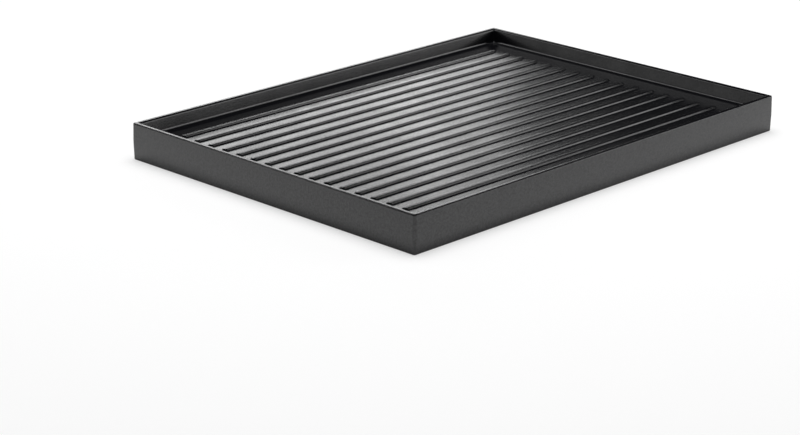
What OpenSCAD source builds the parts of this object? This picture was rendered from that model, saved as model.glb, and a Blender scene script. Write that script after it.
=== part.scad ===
// Reversible grill plate: a cast tray with the same height of rim above and below
// its deck, ribbed on one side and smooth on the other.
// The casting is split into the members that it is made of: the deck, the four
// mitred walls and the ribs. Members meet face to face.
// Units are millimetres. The origin is the centre of the lower rim's rest plane.

/* [Plate] */
// Overall length, along X
plate_length = 420; // [300:5:520]
// Overall width, along Y
plate_width = 310; // [220:5:400]
// Overall height, from rim to rim
plate_height = 30; // [24:1:45]

/* [Walls] */
// Width of the rim, before its edges are rounded
rim_width = 4.4; // [4:0.1:7]
// Lean of the outer faces away from the parting line, in degrees
outer_draft = 1.6; // [0:0.1:3]
// Lean of the inner faces, in degrees
inner_draft = 11; // [2:0.5:14]
// Radius of the rim's outer edge
rim_outer_radius = 1; // [0.4:0.1:2]
// Radius of the rim's inner edge
rim_inner_radius = 2; // [0.4:0.1:2]
// Radius of the four upright outer corners, at the parting line
outer_corner_radius = 2.6; // [2:0.1:6]
// Radius of the fillet between a wall and the deck
wall_root_radius = 3; // [1:0.1:4]

/* [Deck] */
// Thickness of the deck
deck_thickness = 6; // [4:0.1:9]

/* [Ribs] */
// Height of a rib above the deck
rib_height = 1.5; // [1.2:0.1:3]
// Width of a rib's flat crest
rib_crest_width = 3.2; // [1:0.1:5]
// Radius of a rib's two upper edges
rib_edge_radius = 0.6; // [0.3:0.1:1]
// Slope of a rib's flanks above the deck, in degrees
rib_flank_slope = 68; // [50:1:75]
// Radius of the fillet between a rib and the deck
rib_root_radius = 0.8; // [0.4:0.1:1.2]
// Distance from the deck's front edge to the middle of the first rib
rib_front_gap = 28.7; // [10:0.1:60]
// Distance from the middle of the last rib to the deck's back edge
rib_back_gap = 18.2; // [10:0.1:60]
// Distance from a rib's ends to the deck's side edges
rib_end_gap = 17.4; // [4:0.1:60]

/* [Hidden] */

rib_count = 16;

// Smallest step of a derived size, as on a drawing, so that members meet exactly
drawing_step = 0.001;

// Overrun of the cutting shapes past the faces that they cut
overrun = plate_height / 10;

// Levels
mid_level = plate_height / 2;
deck_top = mid_level + deck_thickness / 2;
recess_depth = plate_height - deck_top;

// Wall section, measured inwards from the parting line
outer_inset = mid_level * tan(outer_draft);
rim_inner_edge = outer_inset + rim_width;
rim_flat_start = outer_inset + rim_outer_radius * tan(45 - outer_draft / 2);
rim_flat_end = rim_inner_edge - rim_inner_radius * tan(45 - inner_draft / 2);
wall_foot = rim_inner_edge + recess_depth * tan(inner_draft);
deck_joint = on_drawing(wall_foot + wall_root_radius * tan(45 - inner_draft / 2));

// Deck, inside the walls' fillets
deck_length = plate_length - 2 * deck_joint;
deck_width = plate_width - 2 * deck_joint;

// Rib section, measured from the rib's middle and up from the deck
edge_centre = [rib_crest_width / 2, rib_height - rib_edge_radius];
edge_tangent = edge_centre + rib_edge_radius * direction(90 - rib_flank_slope);
rib_foot = edge_tangent.x + edge_tangent.y / tan(rib_flank_slope);
rib_half_width = on_drawing(rib_foot + rib_root_radius * tan(rib_flank_slope / 2));
root_tangent = [rib_half_width, rib_root_radius] - rib_root_radius * direction(90 - rib_flank_slope);

// Rib pattern
rib_straight = deck_length - 2 * (rib_end_gap + rib_half_width);
first_rib = rib_front_gap - deck_width / 2;
last_rib = deck_width / 2 - rib_back_gap;
rib_pitch = (last_rib - first_rib) / (rib_count - 1);

plate_colour = [0.17, 0.17, 0.18];
rib_colour = [0.22, 0.22, 0.23];

$fn = 64;

// Size rounded to the drawing's step
function on_drawing(size) = round(size / drawing_step) * drawing_step;

// Unit vector at an angle
function direction(angle) = [cos(angle), sin(angle)];

// Upper half of a wall's section, from the parting line to the rim.
// x runs inwards from the parting line and y runs upwards.
module upper_wall_section() {
    outer_edge = [rim_flat_start, plate_height - rim_outer_radius];
    inner_edge = [rim_flat_end, plate_height - rim_inner_radius];
    root = [deck_joint, deck_top + wall_root_radius];
    difference() {
        union() {
            polygon([
                [0, mid_level],
                outer_edge + rim_outer_radius * direction(180 - outer_draft),
                [rim_flat_start, plate_height],
                [rim_flat_end, plate_height],
                inner_edge + rim_inner_radius * direction(inner_draft),
                root - wall_root_radius * direction(inner_draft),
                [deck_joint, deck_top],
                [deck_joint, mid_level]
            ]);
            translate(outer_edge) circle(rim_outer_radius);
            translate(inner_edge) circle(rim_inner_radius);
        }
        translate(root) circle(wall_root_radius);
    }
}

// Whole section of a wall: both halves are alike
module wall_section() {
    upper_wall_section();
    translate([0, plate_height]) mirror([0, 1]) upper_wall_section();
}

// Turns a section into a bar along X, centred, with the section's x along Y
module bar(length) {
    translate([-length / 2, 0, 0])
        rotate([90, 0, 90])
            linear_extrude(length) children();
}

// Puts its children at both ends of a member along X, made for its left end
module at_both_ends(length) {
    for (side = [0, 1])
        mirror([side, 0, 0])
            translate([-length / 2, 0, 0]) children();
}

// The stretch of a section as deep as the given distance, turned a quarter about an upright
// axis that lies at that distance behind both outer planes
module corner(axis_distance) {
    translate([axis_distance, axis_distance, 0])
        rotate([0, 0, 180])
            rotate_extrude(angle = 90)
                intersection() {
                    translate([axis_distance, 0]) mirror([1, 0]) children();
                    translate([0, -overrun]) square([axis_distance, plate_height + 2 * overrun]);
                }
}

// Prism between the mitre planes at a wall's ends
module mitre(length) {
    outer_half = length / 2 + overrun;
    inner_half = length / 2 - deck_joint;
    translate([0, 0, -overrun])
        linear_extrude(plate_height + 2 * overrun)
            polygon([
                [-outer_half, -overrun],
                [outer_half, -overrun],
                [inner_half, deck_joint],
                [-inner_half, deck_joint]
            ]);
}

// One wall, mitred at both ends, with its outer face on y = 0
module wall(length) {
    intersection() {
        union() {
            bar(length - 2 * outer_corner_radius) wall_section();
            at_both_ends(length) corner(outer_corner_radius) wall_section();
        }
        mitre(length);
    }
}

module front_wall() {
    color(plate_colour)
        translate([0, -plate_width / 2, 0]) wall(plate_length);
}

module right_wall() {
    color(plate_colour)
        translate([plate_length / 2, 0, 0]) rotate([0, 0, 90]) wall(plate_width);
}

module back_wall() {
    color(plate_colour)
        translate([0, plate_width / 2, 0]) rotate([0, 0, 180]) wall(plate_length);
}

module left_wall() {
    color(plate_colour)
        translate([-plate_length / 2, 0, 0]) rotate([0, 0, 270]) wall(plate_width);
}

// Flat web in the middle of the height, inside the four walls
module deck() {
    color(plate_colour)
        translate([-deck_length / 2, -deck_width / 2, mid_level - deck_thickness / 2])
            cube([deck_length, deck_width, deck_thickness]);
}

// Section of a rib: root fillets, sloping flanks, flat crest with rounded edges
module rib_section() {
    difference() {
        union() {
            polygon([
                [-rib_half_width, 0],
                [-root_tangent.x, root_tangent.y],
                [-edge_tangent.x, edge_tangent.y],
                [-edge_centre.x, rib_height],
                [edge_centre.x, rib_height],
                edge_tangent,
                root_tangent,
                [rib_half_width, 0]
            ]);
            for (x = [-edge_centre.x, edge_centre.x])
                translate([x, edge_centre.y]) circle(rib_edge_radius);
        }
        for (x = [-rib_half_width, rib_half_width])
            translate([x, rib_root_radius]) circle(rib_root_radius);
    }
}

// One rib along X on the deck, with a rounded nose at each end
module rib(index) {
    color(rib_colour)
        translate([0, first_rib + index * rib_pitch, deck_top]) {
            bar(rib_straight) rib_section();
            at_both_ends(rib_straight)
                rotate([0, 0, 90])
                    rotate_extrude(angle = 180)
                        intersection() {
                            rib_section();
                            square([rib_half_width, rib_height]);
                        }
        }
}

deck();
front_wall();
right_wall();
back_wall();
left_wall();
rib(0);  // grill_rib_01
rib(1);  // grill_rib_02
rib(2);  // grill_rib_03
rib(3);  // grill_rib_04
rib(4);  // grill_rib_05
rib(5);  // grill_rib_06
rib(6);  // grill_rib_07
rib(7);  // grill_rib_08
rib(8);  // grill_rib_09
rib(9);  // grill_rib_10
rib(10);  // grill_rib_11
rib(11);  // grill_rib_12
rib(12);  // grill_rib_13
rib(13);  // grill_rib_14
rib(14);  // grill_rib_15
rib(15);  // grill_rib_16
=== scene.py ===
import math

import bmesh
import bpy
from mathutils import Matrix, Vector


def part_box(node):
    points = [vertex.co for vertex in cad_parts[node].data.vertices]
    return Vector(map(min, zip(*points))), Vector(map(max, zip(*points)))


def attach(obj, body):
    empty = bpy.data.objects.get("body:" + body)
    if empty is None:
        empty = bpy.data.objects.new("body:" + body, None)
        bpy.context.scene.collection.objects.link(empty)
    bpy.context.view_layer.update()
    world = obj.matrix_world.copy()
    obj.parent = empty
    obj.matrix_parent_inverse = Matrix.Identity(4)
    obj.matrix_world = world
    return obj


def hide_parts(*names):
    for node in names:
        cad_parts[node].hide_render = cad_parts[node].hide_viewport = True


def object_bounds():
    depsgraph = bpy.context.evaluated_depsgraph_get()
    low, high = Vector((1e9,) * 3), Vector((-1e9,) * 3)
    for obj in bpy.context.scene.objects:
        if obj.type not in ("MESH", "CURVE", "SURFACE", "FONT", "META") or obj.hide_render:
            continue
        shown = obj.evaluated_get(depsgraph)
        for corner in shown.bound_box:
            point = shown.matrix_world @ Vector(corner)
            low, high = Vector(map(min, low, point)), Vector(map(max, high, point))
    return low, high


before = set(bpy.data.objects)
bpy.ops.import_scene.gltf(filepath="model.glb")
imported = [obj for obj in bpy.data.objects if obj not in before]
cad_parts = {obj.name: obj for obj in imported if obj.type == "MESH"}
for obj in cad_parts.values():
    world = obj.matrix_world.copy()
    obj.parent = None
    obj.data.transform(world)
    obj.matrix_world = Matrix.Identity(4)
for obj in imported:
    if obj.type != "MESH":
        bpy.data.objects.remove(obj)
cad_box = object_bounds()

MM = 0.001

# Levels and reach of the casting, read from the CAD nodes
plate_high = cad_box[1]
deck_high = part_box("deck")[1]
rib_nodes = sorted(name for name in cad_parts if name.startswith("grill_rib"))
first_low, first_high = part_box(rib_nodes[0])
last_low, last_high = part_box(rib_nodes[-1])

HALF_LENGTH = plate_high.x
HALF_WIDTH = plate_high.y
PLATE_HEIGHT = plate_high.z
MID_LEVEL = PLATE_HEIGHT / 2
DECK_TOP = deck_high.z
DECK_JOINT = HALF_LENGTH - deck_high.x

# Wall section and outer corners, the same as on the solids
RIM_WIDTH = 4.4 * MM
OUTER_DRAFT = math.radians(1.6)
INNER_DRAFT = math.radians(11)
RIM_OUTER_RADIUS = 1 * MM
RIM_INNER_RADIUS = 2 * MM
WALL_ROOT_RADIUS = 3 * MM
OUTER_CORNER_AXIS = 2.6 * MM
RIM_MIDDLE = MID_LEVEL * math.tan(OUTER_DRAFT) + RIM_WIDTH / 2

# Casting radius in the recesses' upright corners, which are sharp on the solids
INNER_CORNER_RADIUS = 1.2 * MM

# Rib section and pattern, the same as on the solids
RIB_HEIGHT = first_high.z - DECK_TOP
RIB_HALF_WIDTH = (first_high.y - first_low.y) / 2
RIB_HALF_LENGTH = first_high.x
RIB_EDGE_RADIUS = 0.6 * MM
RIB_CREST_WIDTH = 3.2 * MM
RIB_FLANK_SLOPE = math.radians(68)
RIB_ROOT_RADIUS = 0.8 * MM
FIRST_RIB = (first_low.y + first_high.y) / 2
RIB_PITCH = ((last_low.y + last_high.y) / 2 - FIRST_RIB) / (len(rib_nodes) - 1)


def arc(centre_x, centre_y, radius, start, end, steps):
    """Points of an arc in a plane, from one angle to another, in degrees."""
    angles = [math.radians(start + (end - start) * i / steps) for i in range(steps + 1)]
    return [(centre_x + radius * math.cos(a), centre_y + radius * math.sin(a)) for a in angles]


def closed_skin(name, rings, flat_rows, smooth_top):
    """A closed mesh through rings of points, from the lowest ring to the last. The first rows of
    faces may stay flat, and so may the cap on the last ring."""
    mesh = bmesh.new()
    rows = [[mesh.verts.new(point) for point in points] for points in rings]
    count = len(rows[0])
    for index, (below, above) in enumerate(zip(rows, rows[1:])):
        for i in range(count):
            j = (i + 1) % count
            face = mesh.faces.new((below[i], below[j], above[j], above[i]))
            face.smooth = index >= flat_rows
    mesh.faces.new(rows[-1]).smooth = smooth_top
    mesh.faces.new(list(reversed(rows[0])))
    bmesh.ops.recalc_face_normals(mesh, faces=mesh.faces)
    data = bpy.data.meshes.new(name)
    mesh.to_mesh(data)
    mesh.free()
    return data


def new_piece(name, mesh_data, material):
    """An object in the scene for a finished mesh, with its material."""
    piece = bpy.data.objects.new(name, mesh_data)
    bpy.context.scene.collection.objects.link(piece)
    piece.data.materials.clear()
    piece.data.materials.append(material)
    return piece


# Materials

def linear(hex_colour):
    """sRGB hex such as "#2a2a2c" as a linear colour."""
    channels = [int(hex_colour[i:i + 2], 16) / 255 for i in (1, 3, 5)]
    return [c / 12.92 if c <= 0.04045 else ((c + 0.055) / 1.055) ** 2.4 for c in channels] + [1.0]


def add_node(tree, kind, settings=None, **inputs):
    """Adds a node with its settings, and sets or links its inputs by name or by number, as _0."""
    node = tree.nodes.new(kind)
    for key, value in (settings or {}).items():
        setattr(node, key, value)
    for key, value in inputs.items():
        numbered = key[0] == "_" and key[1:].isdigit()
        socket = node.inputs[int(key[1:]) if numbered else key.replace("_", " ")]
        if isinstance(value, bpy.types.NodeSocket):
            tree.links.new(value, socket)
        else:
            socket.default_value = value
    return node


def new_material(name):
    """An empty node material: its tree and its shader."""
    material = bpy.data.materials.new(name)
    material.use_nodes = True
    tree = material.node_tree
    tree.nodes.clear()
    shader = add_node(tree, "ShaderNodeBsdfPrincipled")
    output = add_node(tree, "ShaderNodeOutputMaterial")
    tree.links.new(shader.outputs["BSDF"], output.inputs["Surface"])
    return material, tree, shader


# The coating's pebble, and the clouds that its spraying leaves
PEBBLE_SIZE = 1.6 * MM
PEBBLE_HEIGHT = 0.04 * MM
PEBBLE_STRENGTH = 0.4
CLOUD_SIZE = 26 * MM

# The stretch of a noise's values that carries a pattern
NOISE_LOW = 0.3
NOISE_HIGH = 0.7

# The coating's colour and gloss, in the pebble's pits and on its tops
PIT_COLOUR = "#08080a"
TOP_COLOUR = "#0f0f12"
PIT_GLOSS = 0.42
TOP_GLOSS = 0.58

# The coating's roughness across the clouds, and its refraction
CLEAR_ROUGHNESS = 0.18
CLOUDED_ROUGHNESS = 0.23
COATING_IOR = 1.6


def coated_casting():
    """Die-cast aluminium under sprayed black non-stick coating. The eye gets a satin black with a
    fine pebble, duller in its pits than on its tops, and broad faint cloudiness from the spraying."""
    material, tree, shader = new_material("sprayed_non_stick_on_cast_aluminium")
    place = add_node(tree, "ShaderNodeTexCoord").outputs["Object"]
    pebble = add_node(
        tree, "ShaderNodeTexNoise",
        Vector=place, Scale=1 / PEBBLE_SIZE, Detail=1.5, Roughness=0.55,
    ).outputs["Fac"]
    cloud = add_node(
        tree, "ShaderNodeTexNoise",
        Vector=place, Scale=1 / CLOUD_SIZE, Detail=2.0, Roughness=0.5,
    ).outputs["Fac"]
    tint = add_node(
        tree, "ShaderNodeMix", {"data_type": "RGBA"},
        Factor=pebble, _6=linear(PIT_COLOUR), _7=linear(TOP_COLOUR),
    )
    gloss = add_node(
        tree, "ShaderNodeMapRange",
        Value=pebble, From_Min=NOISE_LOW, From_Max=NOISE_HIGH, To_Min=PIT_GLOSS, To_Max=TOP_GLOSS,
    )
    roughness = add_node(
        tree, "ShaderNodeMapRange",
        Value=cloud, From_Min=NOISE_LOW, From_Max=NOISE_HIGH,
        To_Min=CLEAR_ROUGHNESS, To_Max=CLOUDED_ROUGHNESS,
    )
    bump = add_node(
        tree, "ShaderNodeBump",
        Strength=PEBBLE_STRENGTH, Distance=PEBBLE_HEIGHT, Height=pebble,
    )
    shader.inputs["IOR"].default_value = COATING_IOR
    tree.links.new(tint.outputs[2], shader.inputs["Base Color"])
    tree.links.new(gloss.outputs["Result"], shader.inputs["Specular IOR Level"])
    tree.links.new(roughness.outputs["Result"], shader.inputs["Roughness"])
    tree.links.new(bump.outputs["Normal"], shader.inputs["Normal"])
    return material


casting_finish = coated_casting()


# The casting: the wall's section swept round the plate, closed by the deck on both sides

CORNER_STEPS = 10
EDGE_STEPS = 8
ROOT_STEPS = 12
DECK_STRIP = 1.5 * MM


def upper_section():
    """Upper half of the wall's section, from the parting line to the deck, as (inset, level)."""
    outer_inset = MID_LEVEL * math.tan(OUTER_DRAFT)
    flat_start = outer_inset + RIM_OUTER_RADIUS * math.tan((math.pi / 2 - OUTER_DRAFT) / 2)
    flat_end = outer_inset + RIM_WIDTH - RIM_INNER_RADIUS * math.tan((math.pi / 2 - INNER_DRAFT) / 2)
    outer_level = PLATE_HEIGHT - RIM_OUTER_RADIUS
    inner_level = PLATE_HEIGHT - RIM_INNER_RADIUS
    root_level = DECK_TOP + WALL_ROOT_RADIUS
    outer_angle = 180 - math.degrees(OUTER_DRAFT)
    inner_angle = math.degrees(INNER_DRAFT)
    outer_edge = arc(flat_start, outer_level, RIM_OUTER_RADIUS, outer_angle, 90, EDGE_STEPS)
    inner_edge = arc(flat_end, inner_level, RIM_INNER_RADIUS, 90, inner_angle, EDGE_STEPS)
    root = arc(DECK_JOINT, root_level, WALL_ROOT_RADIUS, 180 + inner_angle, 270, ROOT_STEPS)
    return [(0.0, MID_LEVEL)] + outer_edge + inner_edge + root + [(DECK_JOINT + DECK_STRIP, DECK_TOP)]


def corner_radius(inset):
    """Radius of the plate's corner at an inset: the rim's flat parts the outer corner, which has
    its own upright axis, from the small casting radius inside."""
    return OUTER_CORNER_AXIS - inset if inset < RIM_MIDDLE else INNER_CORNER_RADIUS


def ring(inset):
    """Points round the plate at an inset, with rounded corners, anticlockwise seen from above."""
    radius = corner_radius(inset)
    points = []
    for turn, (side_x, side_y) in enumerate([(1, 1), (-1, 1), (-1, -1), (1, -1)]):
        centre_x = side_x * (HALF_LENGTH - inset - radius)
        centre_y = side_y * (HALF_WIDTH - inset - radius)
        points += arc(centre_x, centre_y, radius, turn * 90, turn * 90 + 90, CORNER_STEPS)
    return points


def build_casting():
    """The whole casting without its ribs, as one closed skin."""
    upper = upper_section()
    lower = [(inset, PLATE_HEIGHT - level) for inset, level in reversed(upper[1:])]
    rings = [[(x, y, level) for x, y in ring(inset)] for inset, level in lower + upper]
    data = closed_skin("cast_plate", rings, flat_rows=0, smooth_top=False)
    return new_piece("cast_plate", data, casting_finish)


cast_plate = build_casting()
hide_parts("deck", "front_wall", "right_wall", "back_wall", "left_wall")
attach(cast_plate, "root")


# The ribs: one rib, repeated by Geometry Nodes

NOSE_STEPS = 12

# How far a rib reaches down into the deck, so that no gap shows at its foot
RIB_SKIRT = 0.3 * MM


def rib_outline():
    """Right half of a rib's section, from under its foot to its flat crest, as (half width, level)."""
    slope = math.degrees(RIB_FLANK_SLOPE)
    edge_x = RIB_CREST_WIDTH / 2
    edge_level = RIB_HEIGHT - RIB_EDGE_RADIUS
    root = arc(RIB_HALF_WIDTH, RIB_ROOT_RADIUS, RIB_ROOT_RADIUS, 270, 270 - slope, ROOT_STEPS)
    edge = arc(edge_x, edge_level, RIB_EDGE_RADIUS, 90 - slope, 90, ROOT_STEPS)
    return [(RIB_HALF_WIDTH, -RIB_SKIRT)] + root + edge


def rib_ring(half_width):
    """Points round a rib at one level: two straight sides and a round nose at each end."""
    reach = RIB_HALF_LENGTH - RIB_HALF_WIDTH
    points = []
    for side in (1, -1):
        start = -90 * side
        nose = arc(0, 0, half_width, start, start + 180, NOSE_STEPS)
        points += [(side * reach + x, FIRST_RIB + y) for x, y in nose]
    return points


def build_rib():
    """One rib at the place of the first. The row of faces inside the deck stays flat."""
    rings = [
        [(x, y, DECK_TOP + level) for x, y in rib_ring(half_width)]
        for half_width, level in rib_outline()
    ]
    data = closed_skin("one_rib", rings, flat_rows=1, smooth_top=True)
    return new_piece("one_rib", data, casting_finish)


def rib_row_tree():
    """Repeats its geometry in a row along Y, with named inputs for the count and the pitch."""
    tree = bpy.data.node_groups.new("rib_row", "GeometryNodeTree")
    tree.interface.new_socket("Geometry", in_out="INPUT", socket_type="NodeSocketGeometry")
    tree.interface.new_socket("Count", in_out="INPUT", socket_type="NodeSocketInt")
    tree.interface.new_socket("Pitch", in_out="INPUT", socket_type="NodeSocketFloat")
    tree.interface.new_socket("Finish", in_out="INPUT", socket_type="NodeSocketMaterial")
    tree.interface.new_socket("Geometry", in_out="OUTPUT", socket_type="NodeSocketGeometry")
    given = add_node(tree, "NodeGroupInput").outputs
    step = add_node(tree, "ShaderNodeCombineXYZ", Y=given["Pitch"])
    places = add_node(
        tree, "GeometryNodeMeshLine", {"mode": "OFFSET"},
        Count=given["Count"], Offset=step.outputs[0],
    )
    row = add_node(
        tree, "GeometryNodeInstanceOnPoints",
        Points=places.outputs[0], Instance=given["Geometry"],
    )
    real = add_node(tree, "GeometryNodeRealizeInstances", Geometry=row.outputs[0])
    finished = add_node(
        tree, "GeometryNodeSetMaterial",
        Geometry=real.outputs[0], Material=given["Finish"],
    )
    add_node(tree, "NodeGroupOutput", Geometry=finished.outputs[0])
    return tree


def set_input(modifier, name, value):
    """Sets a Geometry Nodes modifier's input by its socket's identifier."""
    sockets = modifier.node_group.interface.items_tree
    socket = next(s for s in sockets if s.name == name and s.in_out == "INPUT")
    modifier[socket.identifier] = value


def applied(piece, name):
    """The evaluated piece as a plain mesh object with no modifier; the source is removed."""
    graph = bpy.context.evaluated_depsgraph_get()
    data = bpy.data.meshes.new_from_object(piece.evaluated_get(graph))
    data.name = name
    result = bpy.data.objects.new(name, data)
    bpy.context.scene.collection.objects.link(result)
    bpy.data.objects.remove(piece)
    return result


def build_ribs():
    """All the ribs, as one plain mesh."""
    rib = build_rib()
    row = rib.modifiers.new("rib_row", "NODES")
    row.node_group = rib_row_tree()
    set_input(row, "Count", len(rib_nodes))
    set_input(row, "Pitch", RIB_PITCH)
    set_input(row, "Finish", casting_finish)
    return applied(rib, "grill_ribs")


grill_ribs = build_ribs()
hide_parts(*rib_nodes)
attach(grill_ribs, "root")


# Camera: where the photograph was taken from, found from the plate's edges

CAMERA_PLACE = Vector((-1.2848, -1.1994, 0.5564))
CAMERA_FORWARD = Vector((0.67197, 0.66192, -0.33213))
CAMERA_ROLL = math.radians(0.194)
CAMERA_LENS = 103.08
CAMERA_REACH = 20
SENSOR_WIDTH = 36.0

camera_data = bpy.data.cameras.new("camera")
camera_data.lens = CAMERA_LENS
camera_data.sensor_width = SENSOR_WIDTH
camera_data.clip_end = CAMERA_REACH
camera = bpy.data.objects.new("camera", camera_data)
bpy.context.scene.collection.objects.link(camera)
camera.rotation_mode = "QUATERNION"
camera.location = CAMERA_PLACE
camera.rotation_quaternion = (
    CAMERA_FORWARD.to_track_quat("-Z", "Y") @ Matrix.Rotation(CAMERA_ROLL, 3, "Z").to_quaternion()
)
bpy.context.scene.camera = camera


# Stage: a pale floor and soft studio light

FLOOR_HALF_SIZE = 6.0
PAPER_COLOUR = "#f0f0f0"
PAPER_ROUGHNESS = 0.9
PAPER_GLOSS = 0.2

# Share of plain white in the paper that the camera sees
PAPER_LIFT = 0.55

# Strength of the world on everything but the camera, which sees it at 1
WORLD_LIGHT = 0.01


def white_paper():
    """Background paper: matt and white. The camera sees it lifted to clean white, as on a lit
    sweep, and still sees the plate's shadow on it."""
    material, tree, shader = new_material("matt_white_paper")
    shader.inputs["Base Color"].default_value = linear(PAPER_COLOUR)
    shader.inputs["Roughness"].default_value = PAPER_ROUGHNESS
    shader.inputs["Specular IOR Level"].default_value = PAPER_GLOSS
    seen = add_node(tree, "ShaderNodeLightPath").outputs["Is Camera Ray"]
    share = add_node(tree, "ShaderNodeMath", {"operation": "MULTIPLY"}, _0=seen, _1=PAPER_LIFT)
    lift = add_node(tree, "ShaderNodeEmission", Color=linear("#ffffff"), Strength=1.0)
    look = add_node(
        tree, "ShaderNodeMixShader",
        _0=share.outputs[0], _1=shader.outputs[0], _2=lift.outputs[0],
    )
    output = next(n for n in tree.nodes if n.type == "OUTPUT_MATERIAL")
    tree.links.new(look.outputs[0], output.inputs["Surface"])
    return material


def build_floor():
    """The paper under the plate, which isn't part of the object."""
    data = bpy.data.meshes.new("floor")
    mesh = bmesh.new()
    bmesh.ops.create_grid(mesh, x_segments=1, y_segments=1, size=FLOOR_HALF_SIZE)
    mesh.to_mesh(data)
    mesh.free()
    floor = new_piece("floor", data, white_paper())


build_floor()


def add_softbox(name, azimuth, elevation, distance, width, height, radiance):
    """A rectangular lamp that faces the plate's middle, placed by its direction from there in
    degrees and its distance in metres, with the radiance of its face."""
    turn = math.radians(azimuth)
    rise = math.radians(elevation)
    level = math.cos(rise)
    towards = Vector((level * math.cos(turn), level * math.sin(turn), math.sin(rise)))
    data = bpy.data.lights.new(name, "AREA")
    data.shape = "RECTANGLE"
    data.size = width
    data.size_y = height
    data.energy = radiance * width * height * math.pi
    lamp = bpy.data.objects.new(name, data)
    bpy.context.scene.collection.objects.link(lamp)
    lamp.location = Vector((0, 0, MID_LEVEL)) + distance * towards
    lamp.rotation_mode = "QUATERNION"
    lamp.rotation_quaternion = towards.to_track_quat("Z", "Y")
    lamp.visible_camera = False
    return lamp


# The rear softbox lies where the deck mirrors it, and fades out at its right side
add_softbox(
    "rear_softbox", azimuth=58.0, elevation=15.7, distance=3.02,
    width=1.40, height=0.52, radiance=3.0,
)
add_softbox(
    "rear_softbox_edge", azimuth=43.0, elevation=11.5, distance=3.02,
    width=0.20, height=1.05, radiance=2.15,
)
add_softbox(
    "rear_softbox_fade", azimuth=39.2, elevation=11.5, distance=3.02,
    width=0.20, height=1.05, radiance=0.12,
)

# The side softbox lights the ribs' near flanks and the inner face of the back wall
add_softbox(
    "side_softbox", azimuth=-37.0, elevation=18.0, distance=1.90,
    width=0.70, height=0.80, radiance=2.42,
)
add_softbox(
    "side_softbox_edge", azimuth=-54.0, elevation=18.0, distance=1.90,
    width=0.40, height=0.80, radiance=1.48,
)
add_softbox(
    "side_softbox_top", azimuth=-36.0, elevation=34.0, distance=1.90,
    width=0.90, height=0.50, radiance=0.82,
)

# Three smaller ones light the inner face of the right wall and the left rim
add_softbox(
    "left_softbox", azimuth=140.0, elevation=18.0, distance=1.20,
    width=0.45, height=0.50, radiance=0.43,
)
add_softbox(
    "left_softbox_low", azimuth=138.0, elevation=5.0, distance=2.00,
    width=0.80, height=0.22, radiance=0.59,
)
add_softbox(
    "back_left_softbox", azimuth=117.0, elevation=42.0, distance=2.00,
    width=0.70, height=0.70, radiance=2.0,
)

# The overhead light brightens the paper, and isn't mirrored in the coating
overhead = add_softbox(
    "overhead_softbox", azimuth=45.0, elevation=82.0, distance=1.95,
    width=1.60, height=1.60, radiance=5.8,
)
overhead.visible_glossy = False

# A dimmer panel straight above is mirrored there, and shows the ribs from above
add_softbox(
    "top_softbox", azimuth=45.0, elevation=88.0, distance=1.90,
    width=0.90, height=0.90, radiance=1.8,
)

world = bpy.data.worlds.new("studio")
bpy.context.scene.world = world
world.use_nodes = True
world_tree = world.node_tree
background = world_tree.nodes["Background"]
background.inputs["Color"].default_value = linear("#ffffff")
seen = add_node(world_tree, "ShaderNodeLightPath").outputs["Is Camera Ray"]
strength = add_node(world_tree, "ShaderNodeMath", {"operation": "MAXIMUM"}, _0=seen, _1=WORLD_LIGHT)
world_tree.links.new(strength.outputs[0], background.inputs["Strength"])

bpy.context.scene.view_settings.view_transform = "Standard"
